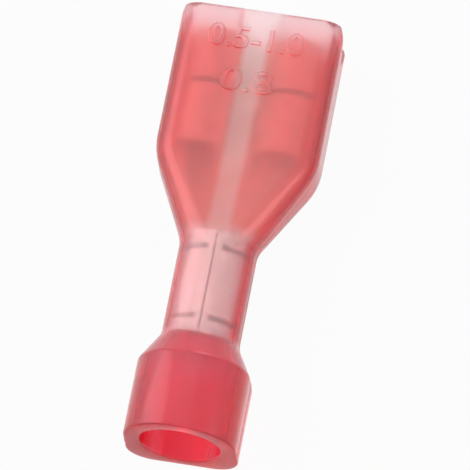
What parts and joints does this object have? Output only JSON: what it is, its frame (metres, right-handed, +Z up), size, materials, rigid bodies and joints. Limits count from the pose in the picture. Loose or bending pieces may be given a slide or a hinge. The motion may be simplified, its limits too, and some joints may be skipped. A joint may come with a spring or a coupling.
{
  "type": "female spade terminal",
  "caption": "Insulated female spade terminal: clear red nylon sleeve with flat mouth, round neck and wire bell, over a tinned brass receptacle with rolled springs and crimp barrel.",
  "frame": {"origin": "bottom centre of the bounding box, on the surface that the flat back lies on", "axes": "+Y along the wire's axis towards the mouth for the tab, +Z up out of the front, +X to the right with the mouth pointing away"},
  "size_m": [0.0074, 0.0206, 0.0049],
  "materials": {
    "nylon": "clear red nylon, faintly frosted",
    "tinned_brass": "satin tin plate on brass"
  },
  "bodies": {
    "root": {"housing": "nylon", "contact": "tinned_brass"}
  },
  "joints": []
}
